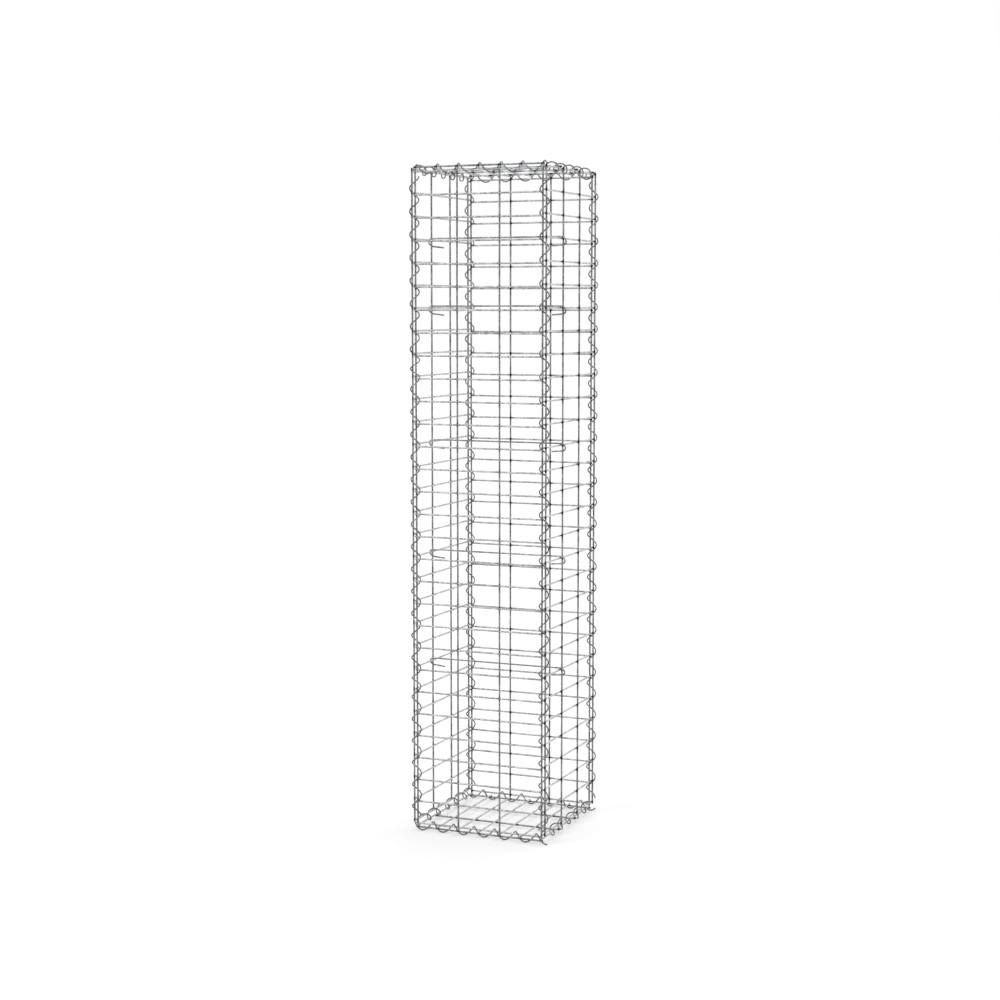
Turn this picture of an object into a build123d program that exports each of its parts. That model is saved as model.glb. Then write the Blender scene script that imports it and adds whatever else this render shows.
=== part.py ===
from build123d import *
from itertools import pairwise
from math import ceil, cos, floor, pi, radians, sin, sqrt, tan
import os

# Welded mesh: a cell is 100 mm wide, and the cross bars stand 50 mm apart.
mesh_wire = 4.0
cell_width = 100.0
bar_pitch = 50.0
cells_across = 3
cell_rows = 29
overhang = 4.0

# Spirals that lace the panels together, drawn as an eight-sided turn.
coil_outer = 23.6
coil_wire = 3.2
coil_sides = 8

# Ties across the inside, hooked over a cross bar at the front inner upright.
tie_wire = 3.5
tie_sides = 6
hook_height = 17.5
hook_tilt = 32.0
hook_bends = 4
tail_length = 25.0
tie_rows = (7, 12, 17, 23, 26)

# Clearances between neighbouring wires.
wire_gap = 0.3
stack_gap = 1.0
corner_gap = 3.0

# Derived sizes.
span = cell_width * cells_across
grid_height = bar_pitch * cell_rows
bar_length = span + mesh_wire
side_lift = mesh_wire + stack_gap

# The base and the lid divide each cell width evenly, as near to the bar pitch as it goes.
bars_per_cell = round(cell_width / bar_pitch)
flat_pitch = cell_width / bars_per_cell

# Plan: the side panels press their cross bars on the front panel's edge uprights.
upright_y = span / 2
cross_y = upright_y + mesh_wire
side_cross_x = span / 2 + mesh_wire + wire_gap
side_upright_x = side_cross_x + mesh_wire

# One turn of a spiral: its flats are as far out as the real coil, its corners further.
coil_radius = coil_outer / 2
half_step = pi / coil_sides
corner_reach = coil_radius / cos(half_step)
ridge_radius = (coil_radius - coil_wire) / cos(half_step)

# Heights: the part rests on the flats of the front and back base spirals.
panel_drop = overhang + mesh_wire / 2 + wire_gap
first_bar_z = coil_radius + (panel_drop + mesh_wire) / 2
last_bar_z = first_bar_z + grid_height
base_depth_z = first_bar_z - panel_drop
base_width_z = base_depth_z - mesh_wire
lid_depth_z = last_bar_z + panel_drop
lid_width_z = lid_depth_z + mesh_wire

# Axes of the spirals, half way between the two wires that each one laces.
corner_x = (span / 2 + side_upright_x) / 2
corner_y = span / 2
long_y = (upright_y + cross_y) / 2
side_x = (span / 2 + side_cross_x) / 2
base_long_z = (first_bar_z + base_width_z) / 2
base_side_z = (first_bar_z + side_lift + base_depth_z) / 2
lid_long_z = (last_bar_z + lid_width_z) / 2
lid_side_z = (last_bar_z + side_lift + lid_depth_z) / 2

# Ends of the spirals, each short of the spirals that it meets at a corner.
corner_start = base_side_z + corner_reach + corner_gap
corner_end = lid_long_z - corner_reach - corner_gap
long_end = span / 2
side_end = long_y - corner_reach - corner_gap

os.makedirs("parts", exist_ok=True)


def mesh_panel(face, bars_at, pitch, cells, uprights_at):
    """Bars across on one side of the uprights and welded to them, drawn on a plane."""
    height = pitch * cells
    with BuildPart() as panel:
        with Locations(face.offset(bars_at)):
            with GridLocations(1, pitch, 1, cells + 1):
                Box(bar_length, mesh_wire, mesh_wire)
        with Locations(face.offset(uprights_at)):
            with GridLocations(cell_width, 1, cells_across + 1, 1):
                Box(mesh_wire, height + 2 * overhang, mesh_wire)
    return panel


def spiral(axis, pitch, phase, start, end):
    """A right-handed coil about the z axis of a plane, from start to end along it.

    Its wire is three-sided, with a flat outside. Each stretch is straight, so its two
    inner sides twist a little, and each of them is folded into two flat triangles.
    """
    lead = pitch / (2 * pi * (coil_radius - coil_wire / 2))
    half_width = axis.z_dir * coil_wire * sqrt(1 + lead**2) / 2
    first = (start / pitch - phase) * coil_sides - 0.5
    last = (end / pitch - phase) * coil_sides - 0.5
    sections = []
    for corner in (first, *range(ceil(first), floor(last) + 1), last):
        turns = (corner + 0.5) / coil_sides
        flat_angle = 2 * pi * (floor(corner) + 1) / coil_sides
        outward = axis.x_dir * cos(2 * pi * turns) + axis.y_dir * sin(2 * pi * turns)
        middle = axis.origin + axis.z_dir * (turns + phase) * pitch
        share = cos(half_step) / cos(2 * pi * turns - flat_angle)
        edge = middle + outward * corner_reach * share
        ridge = middle + outward * ridge_radius * share
        sections.append((edge - half_width, edge + half_width, ridge))
    outlines = [sections[0], sections[-1]]
    for lower, upper in pairwise(sections):
        outlines.append((lower[0], lower[1], upper[1], upper[0]))
        for here, beside in ((1, 2), (2, 0)):
            outlines.append((lower[here], lower[beside], upper[beside]))
            outlines.append((lower[here], upper[beside], upper[here]))
    with BuildPart() as coil:
        add(Solid(Shell([Face(Wire.make_polygon(outline)) for outline in outlines])))
    return coil


def save(piece, name):
    piece.part.label = name
    export_step(piece.part, f"parts/{name}.step")


# Front and back panels: uprights inside, cross bars outside.
mid_z = first_bar_z + grid_height / 2
front_face = Plane((0, 0, mid_z), x_dir=(1, 0, 0), z_dir=(0, -1, 0))
back_face = Plane((0, 0, mid_z), x_dir=(-1, 0, 0), z_dir=(0, 1, 0))
for name, face in (("front_panel", front_face), ("back_panel", back_face)):
    save(mesh_panel(face, cross_y, bar_pitch, cell_rows, upright_y), name)

# Left and right panels: cross bars inside, uprights outside, a little higher.
left_face = Plane((0, 0, mid_z + side_lift), x_dir=(0, -1, 0), z_dir=(-1, 0, 0))
right_face = Plane((0, 0, mid_z + side_lift), x_dir=(0, 1, 0), z_dir=(1, 0, 0))
for name, face in (("left_panel", left_face), ("right_panel", right_face)):
    save(mesh_panel(face, side_cross_x, bar_pitch, cell_rows, side_upright_x), name)

# Base and lid: the bars that run front to back lie on the inner side.
flat_face = Plane((0, 0, 0), x_dir=(0, 1, 0), z_dir=(0, 0, 1))
cells_along = cells_across * bars_per_cell
for name, bars_z, width_z in (
    ("base_panel", base_depth_z, base_width_z),
    ("lid_panel", lid_depth_z, lid_width_z),
):
    save(mesh_panel(flat_face, bars_z, flat_pitch, cells_along, width_z), name)

# Corner spirals, each with the share of a turn at which it clears the cross bars.
corners = {
    "front_left": (-1, -1, -0.262),
    "front_right": (1, -1, 0.563),
    "back_right": (1, 1, 0.238),
    "back_left": (-1, 1, 0.238),
}
for corner, (side_sign, face_sign, phase) in corners.items():
    upright = Plane((side_sign * corner_x, face_sign * corner_y, first_bar_z))
    lowest = corner_start - first_bar_z
    highest = corner_end - first_bar_z
    save(spiral(upright, bar_pitch, phase, lowest, highest), f"{corner}_spiral")

# Spirals along the front and back edges of the base and the lid.
long_edges = {
    "base_front": (-1, base_long_z, 0.56),
    "base_back": (1, base_long_z, 0.35),
    "lid_front": (-1, lid_long_z, -0.16),
    "lid_back": (1, lid_long_z, -0.03),
}
for edge, (face_sign, height, phase) in long_edges.items():
    edge_axis = Plane((0, face_sign * long_y, height), x_dir=(0, 1, 0), z_dir=(1, 0, 0))
    save(spiral(edge_axis, flat_pitch, phase, -long_end, long_end), f"{edge}_spiral")

# Spirals along the side edges of the base and the lid.
side_edges = {
    "base_left": (-1, base_side_z, 0.77),
    "base_right": (1, base_side_z, 0.65),
    "lid_left": (-1, lid_side_z, 0.545),
    "lid_right": (1, lid_side_z, -0.18),
}
for edge, (side_sign, height, phase) in side_edges.items():
    edge_axis = Plane((side_sign * side_x, 0, height), x_dir=(0, 0, 1), z_dir=(0, 1, 0))
    save(spiral(edge_axis, flat_pitch, phase, -side_end, side_end), f"{edge}_spiral")

# Ties: one flat bent wire with a hook at each end, tilted so that the upper leg
# passes in front of the upright and the lower leg behind it.
tilt = radians(hook_tilt)
hook_radius = hook_height / 2 / cos(tilt)
bar_hold = (mesh_wire + tie_wire) / 2 + wire_gap
upright_hold = (mesh_wire * sqrt(2) + tie_wire) / 2 + wire_gap
hook_inset = sqrt((hook_radius * sin(tilt)) ** 2 - upright_hold**2) / tan(tilt)
hook_x = side_upright_x - hook_inset

# A hook is bent at its corners, and its flats keep the radius.
bend_radius = hook_radius / cos(pi / 2 / hook_bends)
hook = []
for bend in range(hook_bends):
    turned = pi / 2 - pi * (bend + 0.5) / hook_bends
    hook.append((hook_x + bend_radius * cos(turned), bend_radius * sin(turned)))
right_end = [*hook, (hook_x - tail_length, -hook_radius)]
left_end = [(-x, y) for x, y in reversed(right_end)]
tie_y = -cell_width / 2
for number, row in enumerate(tie_rows, start=1):
    bar_z = first_bar_z + side_lift + row * bar_pitch
    tie_z = bar_z + bar_hold - hook_height / 2
    tie_plane = Plane((0, tie_y, tie_z), x_dir=(1, 0, 0), z_dir=(0, -cos(tilt), -sin(tilt)))
    with BuildPart() as tie:
        with BuildLine(tie_plane):
            wire = Polyline(*left_end, *right_end)
        with BuildSketch(Plane(wire @ 0, z_dir=wire % 0)):
            RegularPolygon(tie_wire / 2, tie_sides)
        sweep(transition=Transition.RIGHT)
    save(tie, f"tie_{number}")
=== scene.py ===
from itertools import pairwise
from math import cos, pi, radians, sin

import bmesh
import bpy
from mathutils import Matrix, Vector, noise


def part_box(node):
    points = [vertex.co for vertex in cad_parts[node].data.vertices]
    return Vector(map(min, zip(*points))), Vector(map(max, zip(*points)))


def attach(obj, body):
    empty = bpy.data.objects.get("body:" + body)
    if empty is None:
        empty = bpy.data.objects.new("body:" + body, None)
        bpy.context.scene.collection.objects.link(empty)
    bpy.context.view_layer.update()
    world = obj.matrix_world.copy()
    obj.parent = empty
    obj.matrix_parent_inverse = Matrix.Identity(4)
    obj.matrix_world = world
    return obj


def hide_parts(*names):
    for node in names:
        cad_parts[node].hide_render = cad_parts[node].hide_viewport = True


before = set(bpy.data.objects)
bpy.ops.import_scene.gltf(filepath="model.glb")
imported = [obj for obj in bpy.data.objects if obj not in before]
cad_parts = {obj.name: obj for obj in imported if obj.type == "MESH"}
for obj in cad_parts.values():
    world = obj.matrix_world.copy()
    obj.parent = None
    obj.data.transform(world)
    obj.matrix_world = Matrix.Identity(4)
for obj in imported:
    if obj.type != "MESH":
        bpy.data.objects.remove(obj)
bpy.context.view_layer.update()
print("frame loaded")

mm = 0.001
xAxis, yAxis, zAxis = Vector((1, 0, 0)), Vector((0, 1, 0)), Vector((0, 0, 1))


# shader maths
class Socket:
    def __init__(self, tree, link):
        self.tree = tree
        self.link = link

    def math(self, operation, *others):
        values = [other.link if isinstance(other, Socket) else other for other in others]
        inputs = {0: self.link, **dict(enumerate(values, 1))}
        return self.tree.node("ShaderNodeMath", {"operation": operation}, inputs)

    def __add__(self, other):
        return self.math("ADD", other)

    def __radd__(self, other):
        return self.math("ADD", other)

    def __sub__(self, other):
        return self.math("SUBTRACT", other)

    def __rsub__(self, other):
        return self.math("MULTIPLY", -1).math("ADD", other)

    def __mul__(self, other):
        return self.math("MULTIPLY", other)

    def __rmul__(self, other):
        return self.math("MULTIPLY", other)

    # another output of the same node
    def beside(self, output):
        return Socket(self.tree, self.link.node.outputs[output])


class Tree:
    def __init__(self, owner):
        owner.use_nodes = True
        self.nodes = owner.node_tree.nodes
        self.links = owner.node_tree.links
        self.nodes.clear()

    # any node: its settings first, then the values or links of its sockets
    def node(self, kind, settings=None, inputs=None, output=0):
        made = self.nodes.new(kind)
        for key, value in (settings or {}).items():
            if key == "stops":
                for element, (place, shade) in zip(made.color_ramp.elements, value):
                    element.position = place
                    element.color = (*shade, 1)
            else:
                setattr(made, key, value)
        for key, value in (inputs or {}).items():
            if isinstance(value, Socket):
                value = value.link
            if isinstance(value, bpy.types.NodeSocket):
                self.links.new(value, made.inputs[key])
            else:
                made.inputs[key].default_value = value
        return Socket(self, made.outputs[output]) if made.outputs else None

    def speckle(self, place, scale, detail):
        inputs = {"Vector": place, "Scale": scale, "Detail": detail}
        return self.node("ShaderNodeTexNoise", None, inputs)


# galvanised wire: each kind of wire from its dullest to its brightest zinc, with painted light and
# shade set by the way the mesh wires run
zinc = {
    # painted shade darkens the uprights, painted light from above brightens the bars, and a painted
    # reflection of the white backdrop makes the front-to-back depth bars lightest
    "uprights": {"dull": 0.10, "bright": 0.38, "burnAndShade": 0.92},
    "bars": {"dull": 0.20, "bright": 0.58, "burnAndShade": 0.30},
    "depthBars": {"dull": 0.42, "bright": 0.80, "burnAndShade": 0.30},
    "spirals": {"dull": 0.04, "bright": 0.32},
    "ties": {"dull": 0.09, "bright": 0.44},
    "tint": (0.985, 1.0, 1.03),
    "metallic": 0.75,
    "roughness": 0.40,
    "roughSpread": 0.2,    # how much the grain and the flecks each change it
    "cloudScale": 45,      # clouds of dull and bright zinc
    "fleckScale": 210,     # flecks a few millimetres long
    "grainScale": 800,     # fine grain
    "cloudShare": 0.35,    # what each adds to the shade
    "fleckShare": 0.45,
    "grainShare": 0.20,
    "dullStop": 0.40,      # where that sum is at its dullest
    "brightStop": 0.60,    # and at its brightest
    # weld marks: real soot from welding and painted shade where the wires cross and shadow each
    # other; burnAndShade sets how dark they go, strongest on the uprights, whose marks are mostly
    # painted shade
    "weldSootAndShade": (0.020, 0.019, 0.018, 1),
    "weldInner": 2.6,      # millimetres from the middle of a weld, all soot and painted shade inside and clean zinc outside
    "weldOuter": 5.6,      # and clean zinc outside
    "sootShadeLeast": 0.7,      # the strength of the soot and painted shade between the flecks
    "sootShadeFlecks": 0.6,     # and what a fleck adds to it
    "sootRough": 0.3,      # roughness that soot adds
    "bumpStrength": 0.3,
    "bumpDepth": 0.4 * mm,
}


def weldDistance(tree, place, axes, firsts, pitches):
    # millimetres from the nearest crossing of a panel's wires
    parts = tree.node("ShaderNodeSeparateXYZ", None, {0: place})
    total = 0
    for axis, first, pitch in zip(axes, firsts, pitches):
        away = (parts.beside(axis) - first).math("PINGPONG", pitch / 2) * (1 / mm)
        total = away * away + total
    return total.math("SQRT")


def zincMaterial(name, kind, crossings=None):
    kindTone = zinc[kind]
    material = bpy.data.materials.new(name)
    tree = Tree(material)
    place = tree.node("ShaderNodeTexCoord", output=3)
    clouds = tree.speckle(place, zinc["cloudScale"], 2.0)
    flecks = tree.speckle(place, zinc["fleckScale"], 2.0)
    grain = tree.speckle(place, zinc["grainScale"], 1.0)
    stops = [
        (zinc["dullStop"], tuple(kindTone["dull"] * tint for tint in zinc["tint"])),
        (zinc["brightStop"], tuple(kindTone["bright"] * tint for tint in zinc["tint"])),
    ]
    blend = clouds * zinc["cloudShare"] + flecks * zinc["fleckShare"] + grain * zinc["grainShare"]
    shade = tree.node("ShaderNodeValToRGB", {"stops": stops}, {0: blend})
    spread = zinc["roughSpread"]
    rough = grain * spread + flecks * spread + (zinc["roughness"] - spread)
    # weld marks round each crossing: real soot and painted shade where the wires shadow each other
    if crossings:
        sootAndShadeMask = tree.node(
            "ShaderNodeMapRange",
            {"interpolation_type": "SMOOTHSTEP"},
            {
                0: weldDistance(tree, place, *crossings),
                1: zinc["weldInner"],
                2: zinc["weldOuter"],
                3: kindTone["burnAndShade"],
                4: 0.0,
            },
        )
        sootAndShadeMask = sootAndShadeMask * (flecks * zinc["sootShadeFlecks"] + zinc["sootShadeLeast"])
        shade = tree.node(
            "ShaderNodeMix", {"data_type": "RGBA"}, {0: sootAndShadeMask, 6: shade, 7: zinc["weldSootAndShade"]}, output=2
        )
        rough = rough + sootAndShadeMask * zinc["sootRough"]
    relief = grain * 0.5 + flecks * 0.5
    bump = tree.node(
        "ShaderNodeBump",
        None,
        {"Strength": zinc["bumpStrength"], "Distance": zinc["bumpDepth"], "Height": relief},
    )
    steel = tree.node(
        "ShaderNodeBsdfPrincipled",
        None,
        {"Base Color": shade, "Metallic": zinc["metallic"], "Roughness": rough, "Normal": bump},
    )
    tree.node("ShaderNodeOutputMaterial", None, {0: steel})
    return material


# a finished piece takes the place of one CAD node
def finishPiece(bm, node, slot, *materials):
    mesh = bpy.data.meshes.new(f"{node}_wire")
    bmesh.ops.recalc_face_normals(bm, faces=bm.faces)
    for face in bm.faces:
        face.smooth = True
    bm.to_mesh(mesh)
    bm.free()
    piece = bpy.data.objects.new(f"{node}_wire", mesh)
    bpy.context.scene.collection.objects.link(piece)
    for material in materials:
        mesh.materials.append(material)
    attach(piece, "root")
    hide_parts(node)


# welded mesh panels
meshWire = {
    "sides": 12,
    "overhang": 4.0 * mm,   # uprights beyond the last bar
    "cut": 0.5 * mm,        # rounding of a sheared end
    "cutSegments": 2,
    "bow": 0.35 * mm,       # how far a wire strays from straight
    "bowScale": 6,
    "bowSeeds": ((7.31, 0.5), (5.17, 9.5)),   # for its two directions
    "rings": 11,            # rings along a wire, for the bow
    "settle": 0.35 * mm,    # how far the two wires of a weld sink into each other
    "beadWide": 1.15,       # a weld's squeezed-out bead, in wire radii
    "beadDeep": 0.6,
    "beadStray": 0.12,      # how much one bead is wider than another
    "beadSeeds": (1.7, 2.3, 0.37),
    "beadSegments": (8, 5),
    "leadCells": 40,        # cells from the panel back to where its weld lattice starts
    "cellWidth": 100 * mm,
    "cellHeight": 50 * mm,
}

# node: across, up and out of the panel, +1 where its bars lie outside the uprights,
# and the tones of its uprights and its bars, with the painted light and shade that suit the way they
# run
panels = {
    "front_panel": (xAxis, zAxis, -yAxis, 1, "uprights", "bars"),
    "back_panel": (-xAxis, zAxis, yAxis, 1, "uprights", "bars"),
    "left_panel": (-yAxis, zAxis, -xAxis, -1, "uprights", "depthBars"),
    "right_panel": (yAxis, zAxis, xAxis, -1, "uprights", "depthBars"),
    "base_panel": (yAxis, xAxis, -zAxis, -1, "uprights", "depthBars"),
    "lid_panel": (yAxis, xAxis, zAxis, -1, "uprights", "depthBars"),
}


def straightWire(radius, length):
    # along Z, with rounded ends and rings enough to bow
    bm = bmesh.new()
    bmesh.ops.create_cone(
        bm, cap_ends=True, segments=meshWire["sides"], radius1=radius, radius2=radius, depth=length
    )
    rims = [edge for edge in bm.edges if edge.verts[0].co.z * edge.verts[1].co.z > 0]
    bmesh.ops.bevel(
        bm, geom=rims, offset=meshWire["cut"], offset_type="OFFSET",
        segments=meshWire["cutSegments"], profile=0.5, affect="EDGES", material=-1,
    )
    runs = [edge for edge in bm.edges if edge.verts[0].co.z * edge.verts[1].co.z < 0]
    bmesh.ops.subdivide_edges(bm, edges=runs, cuts=meshWire["rings"], use_grid_fill=True)
    return kept(bm)


def weldBead(radius):
    around, along = meshWire["beadSegments"]
    bm = bmesh.new()
    bmesh.ops.create_uvsphere(bm, u_segments=around, v_segments=along, radius=radius)
    return kept(bm)


def kept(bm):
    mesh = bpy.data.meshes.new("pattern")
    bm.to_mesh(mesh)
    bm.free()
    return mesh


def lay(bm, pattern, place, slotIndex=0, bow=None):
    # a copy of the pattern, put in its place in the panel
    part = pattern.copy()
    part.transform(place)
    part.polygons.foreach_set("material_index", [slotIndex] * len(part.polygons))
    if bow:
        for vert in part.vertices:
            vert.co += bow(vert.co)
    bm.from_mesh(part)
    bpy.data.meshes.remove(part)


def wireBow(axis, seed):
    # a slow stray, the same all round the wire
    side = axis.orthogonal().normalized()
    other = axis.cross(side)

    def stray(point):
        along = point.dot(axis) * meshWire["bowScale"]
        shift = Vector()
        for direction, (step, row) in zip((side, other), meshWire["bowSeeds"]):
            shift += direction * noise.noise(Vector((along, seed * step, row)))
        return shift * meshWire["bow"]

    return stray


def meshPanel(node, across, up, out, barSide, uprightLitTone, barLitTone):
    low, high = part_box(node)
    size = high - low
    wire = abs(size.dot(out)) / 2
    width = abs(size.dot(across)) - wire
    height = abs(size.dot(up)) - 2 * meshWire["overhang"]
    columns = round(width / meshWire["cellWidth"]) + 1
    rows = round(height / meshWire["cellHeight"]) + 1
    corner = (low + high - across * width - up * height) / 2
    columnStep = across * width / (columns - 1)
    rowStep = up * height / (rows - 1)
    lift = out * barSide * (wire - meshWire["settle"]) / 2
    seed = sum(ord(letter) for letter in node)

    bm = bmesh.new()
    uprightPattern = straightWire(wire / 2, height + 2 * meshWire["overhang"])
    standing = zAxis.rotation_difference(up).to_matrix().to_4x4()
    for column in range(columns):
        spot = corner + columnStep * column + up * height / 2 - lift
        place = Matrix.Translation(spot) @ standing
        lay(bm, uprightPattern, place, 0, wireBow(up, seed + column))
    barPattern = straightWire(wire / 2, width + wire)
    lying = zAxis.rotation_difference(across).to_matrix().to_4x4()
    for row in range(rows):
        spot = corner + rowStep * row + across * width / 2 + lift
        place = Matrix.Translation(spot) @ lying
        lay(bm, barPattern, place, 1, wireBow(across, seed + columns + row))
    bead = weldBead(wire / 2)
    facing = Matrix((across, up, out)).transposed().to_4x4()
    acrossSeed, upSeed, panelSeed = meshWire["beadSeeds"]
    for column in range(columns):
        for row in range(rows):
            stray = noise.noise(Vector((column * acrossSeed, row * upSeed, seed * panelSeed)))
            wide = meshWire["beadWide"] + meshWire["beadStray"] * stray
            shape = Matrix.Diagonal((wide, wide, meshWire["beadDeep"], 1))
            spot = corner + columnStep * column + rowStep * row
            lay(bm, bead, Matrix.Translation(spot) @ facing @ shape)
    for pattern in (uprightPattern, barPattern, bead):
        bpy.data.meshes.remove(pattern)

    # the lattice of welds, started well below the panel so that its distances stay positive
    axes = [max(range(3), key=lambda index: abs(axis[index])) for axis in (across, up)]
    pitches = [columnStep.length, rowStep.length]
    firsts = [corner[axis] - meshWire["leadCells"] * pitch for axis, pitch in zip(axes, pitches)]
    crossings = (axes, firsts, pitches)
    finishPiece(
        bm, node, "mesh_wire",
        zincMaterial(f"{node}_upright_zinc", uprightLitTone, crossings),
        zincMaterial(f"{node}_bar_zinc", barLitTone, crossings),
    )


for node, settings in panels.items():
    meshPanel(node, *settings)
print("mesh panels made")


# lacing spirals
spiralWire = {
    "diameter": 3.0 * mm,
    "sides": 8,
    "stepsPerTurn": 20,
    "pitch": 50 * mm,
    "slack": 0.3 * mm,      # how far a turn may be drawn in
    "slackScale": 11,
    "slackShift": 0.7,      # keeps nearly every turn inside its full radius
    "slackSeed": 3.3,
    "hangs": {              # how far the left coils hang inwards, at the foot and the top
        "front_left_spiral": (1.7 * mm, 1.7 * mm),
        "back_left_spiral": (1.7 * mm, 0),
    },
}

# node: axis, the side where its angle starts, the phase as stops of (turn, phase), and
# the millimetres that its lower and upper ends overshoot
spirals = {
    "front_left_spiral": (
        zAxis, xAxis,
        ((5.925, 0.175), (6.94, -0.04), (20.16, -0.04), (21.165, -0.285)), 0, 0,
    ),
    "front_right_spiral": (zAxis, xAxis, ((0, 0.74), (28, 0.54)), 0, 0),
    "back_right_spiral": (zAxis, xAxis, ((0, 0.24), (28, 0.05)), 0, 0),
    "back_left_spiral": (zAxis, xAxis, ((0, 0.22), (28, 0.04)), 0, 0),
    "base_front_spiral": (xAxis, yAxis, ((0, 0.56),), 8, 14),
    "base_back_spiral": (xAxis, yAxis, ((0, 0.35),), 10, 12),
    "lid_front_spiral": (xAxis, yAxis, ((0, -0.16),), 4, 14),
    "lid_back_spiral": (xAxis, yAxis, ((0, -0.03),), 12, 3),
    "base_left_spiral": (yAxis, zAxis, ((0, 0.77),), 0, 0),
    "base_right_spiral": (yAxis, zAxis, ((0, 0.65),), 0, 0),
    "lid_left_spiral": (yAxis, zAxis, ((0, 0.545),), 0, 0),
    "lid_right_spiral": (yAxis, zAxis, ((0, -0.08),), 0, 0),
}
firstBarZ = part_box("front_panel")[0].z + meshWire["overhang"]


# the share of a turn by which a coil is late, after so many turns
def phaseAt(stops, turn):
    for (lowTurn, lowPhase), (highTurn, highPhase) in pairwise(stops):
        if turn < highTurn:
            share = max(0, (turn - lowTurn) / (highTurn - lowTurn))
            return lowPhase + (highPhase - lowPhase) * share
    return stops[-1][1]


def coil(node, axis, zeroSide, stops, overLow, overHigh):
    low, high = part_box(node)
    size = high - low
    thick = spiralWire["diameter"]
    radius = min(size) / 2 - thick / 2
    pitch = spiralWire["pitch"]
    middle = (low + high) / 2
    origin = middle - axis * middle.dot(axis)
    if axis == zAxis:
        origin += axis * firstBarZ
    start = (low - origin).dot(axis) + thick / 2 - overLow * mm
    end = (high - origin).dot(axis) - thick / 2 + overHigh * mm
    firstTurn = start / pitch - phaseAt(stops, start / pitch)
    turns = end / pitch - phaseAt(stops, end / pitch) - firstTurn
    steps = round(turns * spiralWire["stepsPerTurn"])

    bm = bmesh.new()
    climb = Vector((0, 1, (end - start) / turns / (2 * pi * radius))).normalized()
    lean = zAxis.rotation_difference(climb).to_matrix().to_4x4()
    ring = bmesh.ops.create_circle(
        bm, segments=spiralWire["sides"], radius=thick / 2,
        matrix=Matrix.Translation((radius, 0, 0)) @ lean,
    )["verts"]
    rim = list({edge for vert in ring for edge in vert.link_edges})
    spun = bmesh.ops.spin(
        bm, geom=ring + rim, cent=(0, 0, 0), axis=(0, 0, 1), dvec=(0, 0, (end - start) / steps),
        angle=2 * pi * turns, steps=steps, use_merge=False, use_duplicate=False,
    )["geom_last"]
    for edges in (rim, [item for item in spun if isinstance(item, bmesh.types.BMEdge)]):
        bmesh.ops.contextual_create(bm, geom=edges)

    # turned to its first phase, then slipped along to the others and drawn in a little
    hangLow, hangHigh = spiralWire["hangs"].get(node, (0, 0))
    slackSeed = spiralWire["slackSeed"]
    basis = Matrix((zeroSide, axis.cross(zeroSide), axis)).transposed().to_4x4()
    place = Matrix.Translation(origin + axis * start) @ basis
    place = place @ Matrix.Rotation(2 * pi * firstTurn, 4, "Z")
    bmesh.ops.transform(bm, matrix=place, verts=bm.verts)
    for vert in bm.verts:
        along = (vert.co - origin).dot(axis)
        outward = (vert.co - origin - axis * along).normalized()
        share = (along - start) / (end - start)
        turn = firstTurn + turns * share
        slip = pitch * (turn + phaseAt(stops, turn)) - along
        hang = hangLow + (hangHigh - hangLow) * share
        stray = noise.noise(Vector((along * spiralWire["slackScale"], len(node), slackSeed)))
        draw = (spiralWire["slackShift"] + stray) * spiralWire["slack"]
        vert.co += axis * slip + zeroSide * hang - outward * draw
    return bm


spiralZinc = zincMaterial("spiral_zinc", "spirals")
for node, settings in spirals.items():
    finishPiece(coil(node, *settings), node, "spiral_wire", spiralZinc)
print("spirals made")


# hooked ties across the inside
tie = {
    "count": 5,
    "diameter": 3.5 * mm,
    "sides": 12,
    "tilt": radians(32),        # the hooks' plane, leaning from upright
    "hookHeight": 17.5 * mm,
    "inset": 0.02 * mm,         # keeps the hooks within the node's box
    "tail": 25 * mm,
    "droops": (radians(8), radians(5)),   # of the left and the right tail
    "bendSteps": 14,
    "rodPieces": 16,
    "tailPieces": 3,
}


def extruded(bm, edges, shift, pieces):
    for _ in range(pieces):
        made = bmesh.ops.extrude_edge_only(bm, edges=edges)["geom"]
        verts = [item for item in made if isinstance(item, bmesh.types.BMVert)]
        edges = [item for item in made if isinstance(item, bmesh.types.BMEdge)]
        edges = [edge for edge in edges if edge.verts[0] in verts and edge.verts[1] in verts]
        bmesh.ops.translate(bm, vec=shift / pieces, verts=verts)
    return edges


def bentRound(bm, edges, centre, droop):
    verts = list({vert for edge in edges for vert in edge.verts})
    made = bmesh.ops.spin(
        bm, geom=verts + edges, cent=centre, axis=(0, 0, -1), dvec=(0, 0, 0),
        angle=pi - droop, steps=tie["bendSteps"], use_merge=False, use_duplicate=False,
    )["geom_last"]
    return [item for item in made if isinstance(item, bmesh.types.BMEdge)]


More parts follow.
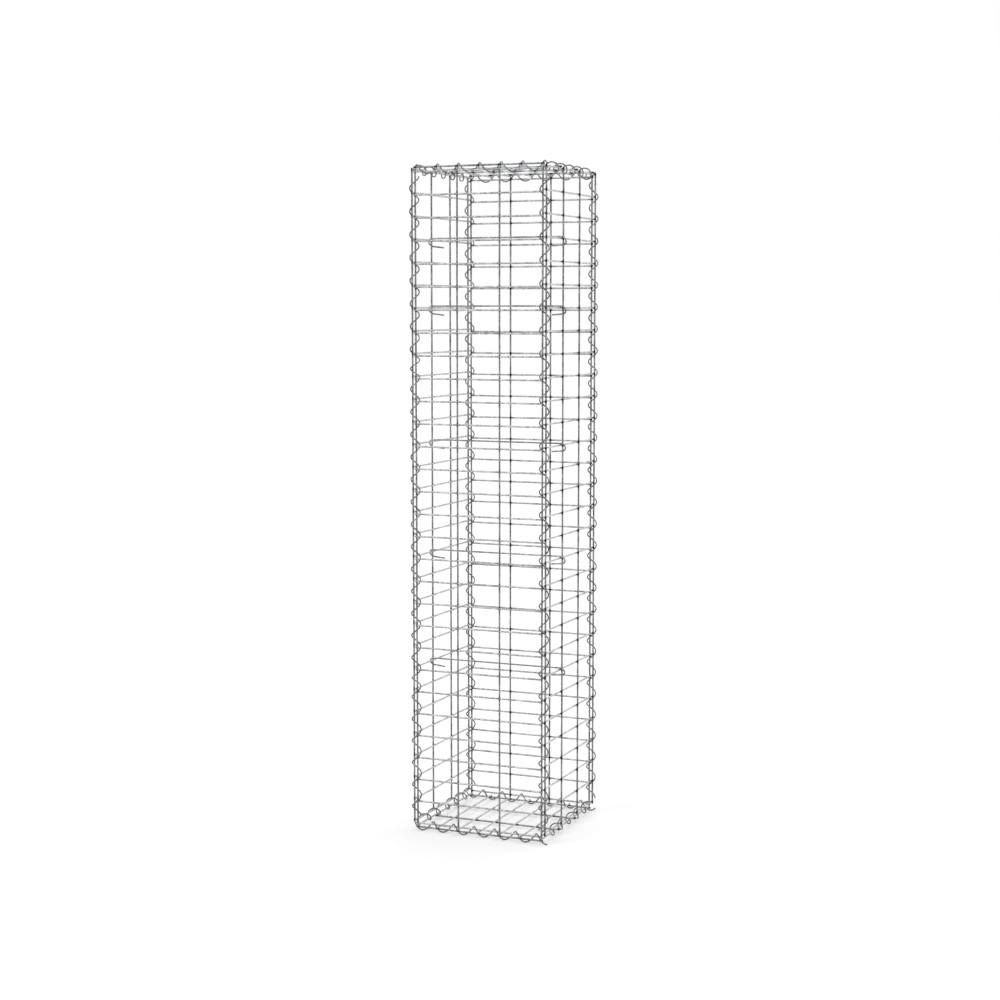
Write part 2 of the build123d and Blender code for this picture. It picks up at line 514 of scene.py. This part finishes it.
def hookedTie(node):
    low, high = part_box(node)
    radius = tie["hookHeight"] / 2 / cos(tie["tilt"])
    hookX = high.x - radius - tie["diameter"] / 2 - tie["inset"]
    leftDroop, rightDroop = tie["droops"]
    leftCentre = Vector((-hookX, 0, 0))
    rightCentre = Vector((hookX, 0, 0))
    leftTail = Vector((cos(leftDroop), -sin(leftDroop), 0)) * tie["tail"]
    rightTail = Vector((-cos(rightDroop), -sin(rightDroop), 0)) * tie["tail"]
    tailStart = leftCentre + Vector((-sin(leftDroop), -cos(leftDroop), 0)) * radius
    alongTail = Matrix.Rotation(-leftDroop, 4, "Z") @ Matrix.Rotation(pi / 2, 4, "Y")
    bm = bmesh.new()
    ring = bmesh.ops.create_circle(
        bm, cap_ends=True, segments=tie["sides"], radius=tie["diameter"] / 2,
        matrix=Matrix.Translation(tailStart + leftTail) @ alongTail,
    )["verts"]
    rim = list({edge for vert in ring for edge in vert.link_edges})
    rim = extruded(bm, rim, -leftTail, tie["tailPieces"])
    rim = bentRound(bm, rim, leftCentre, leftDroop)
    rim = extruded(bm, rim, rightCentre - leftCentre, tie["rodPieces"])
    rim = bentRound(bm, rim, rightCentre, rightDroop)
    rim = extruded(bm, rim, rightTail, tie["tailPieces"])
    bmesh.ops.contextual_create(bm, geom=rim)

    # the hooks' centre is the middle of the node's box, in a plane that leans back
    normal = Vector((0, -cos(tie["tilt"]), -sin(tie["tilt"])))
    basis = Matrix((xAxis, normal.cross(xAxis), normal)).transposed().to_4x4()
    middle = (low + high) / 2
    place = Matrix.Translation((0, middle.y, middle.z)) @ basis
    bmesh.ops.transform(bm, matrix=place, verts=bm.verts)
    return bm


tieZinc = zincMaterial("tie_zinc", "ties")
for number in range(1, tie["count"] + 1):
    finishPiece(hookedTie(f"tie_{number}"), f"tie_{number}", "tie_wire", tieZinc)
print("ties made")


# floor, light and camera
studio = {
    "floorSize": 80.0,
    "floorTone": 0.86,
    "floorLift": 0.33,      # brings the floor to white for the camera
    "skyTone": 0.45,
    "lamps": {
        # azimuth, elevation, strength and softness, in degrees
        "overhead": (165, 68, 0.8, 40),
        "front": (-40, 42, 0.9, 25),
    },
}


def seenDirectly(tree):
    # 1 where the camera, a reflection or a view through glass meets the surface
    path = tree.node("ShaderNodeLightPath")
    rays = path + path.beside("Is Glossy Ray") + path.beside("Is Transmission Ray")
    return rays.math("MINIMUM", 1.0)


def floorMaterial():
    material = bpy.data.materials.new("floor_white")
    tree = Tree(material)
    paper = tree.node("ShaderNodeBsdfDiffuse", None, {"Color": (*[studio["floorTone"]] * 3, 1)})
    glow = tree.node("ShaderNodeEmission", None, {"Strength": studio["floorLift"]})
    lifted = tree.node("ShaderNodeAddShader", None, {0: paper, 1: glow})
    both = tree.node("ShaderNodeMixShader", None, {0: seenDirectly(tree), 1: paper, 2: lifted})
    tree.node("ShaderNodeOutputMaterial", None, {0: both})
    return material


bpy.ops.mesh.primitive_plane_add(size=studio["floorSize"])
floor = bpy.context.object
floor.name = "floor"
floor.data.materials.append(floorMaterial())

world = bpy.data.worlds.new("studio")
bpy.context.scene.world = world
sky = Tree(world)
dim = sky.node("ShaderNodeBackground", None, {0: (1, 1, 1, 1), 1: studio["skyTone"]})
white = sky.node("ShaderNodeBackground", None, {0: (1, 1, 1, 1), 1: 1.0})
mixedSky = sky.node("ShaderNodeMixShader", None, {0: seenDirectly(sky), 1: dim, 2: white})
sky.node("ShaderNodeOutputWorld", None, {0: mixedSky})

for name, (azimuth, elevation, strength, softness) in studio["lamps"].items():
    light = bpy.data.lights.new(name, "SUN")
    light.energy = strength
    light.angle = radians(softness)
    lamp = bpy.data.objects.new(name, light)
    lamp.rotation_euler = (radians(90 - elevation), 0, radians(azimuth))
    bpy.context.scene.collection.objects.link(lamp)

view = {
    "place": (1.640, -3.886, 1.169),
    "azimuth": radians(23.04),
    "elevation": radians(5.81),
    "focalPixels": 1875,
    "framePixels": 1000,
}
cameraData = bpy.data.cameras.new("camera")
cameraData.lens = view["focalPixels"] * cameraData.sensor_width / view["framePixels"]
camera = bpy.data.objects.new("camera", cameraData)
camera.location = view["place"]
camera.rotation_euler = (pi / 2 - view["elevation"], 0, view["azimuth"])
bpy.context.scene.collection.objects.link(camera)
bpy.context.scene.camera = camera
bpy.context.scene.view_settings.view_transform = "Standard"
print("studio made")

bpy.context.view_layer.update()
